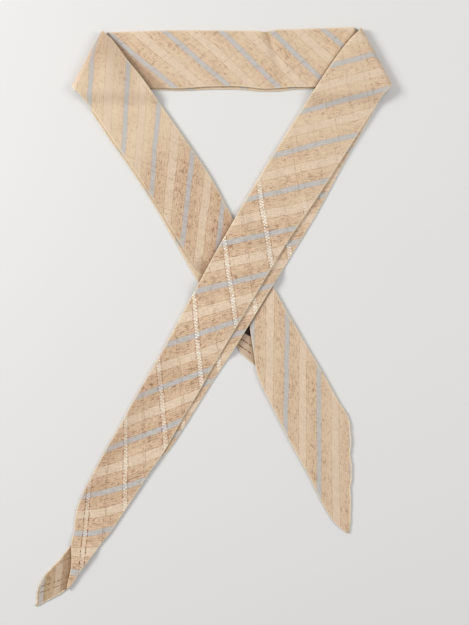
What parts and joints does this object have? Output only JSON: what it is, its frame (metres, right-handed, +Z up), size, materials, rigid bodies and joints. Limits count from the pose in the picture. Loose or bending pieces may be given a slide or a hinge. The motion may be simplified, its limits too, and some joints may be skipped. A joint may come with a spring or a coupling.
{
  "type": "silk cravat",
  "caption": "Bias-folded silk cravat laid flat as a neck loop, its tails crossed below the loop, ending in a slanted hem and a turned tip.",
  "frame": {"origin": "centre of the laid-out cravat's bounding box, on the table under it", "axes": "+Z up out of the table, +Y from the tails' tips to the neck stretch, +X to the right seen from above"},
  "size_m": [0.3124, 0.5073, 0.0111],
  "materials": {
    "silk_face": "plain woven silk with a low sheen, cream and tan plaid with grey-blue and cream stripes",
    "silk_reverse": "reverse of the same silk, duller, with the stripes showing through"
  },
  "bodies": {
    "root": {"neck_stretch": "silk_face", "neck_under_layer": "silk_face", "left_tail": "silk_face", "left_tail_under_layer": "silk_face", "left_tail_inner_fold": "silk_reverse", "right_tail": "silk_face", "right_tail_under_layer": "silk_face", "right_tail_turned_tip": "silk_reverse"}
  },
  "joints": []
}
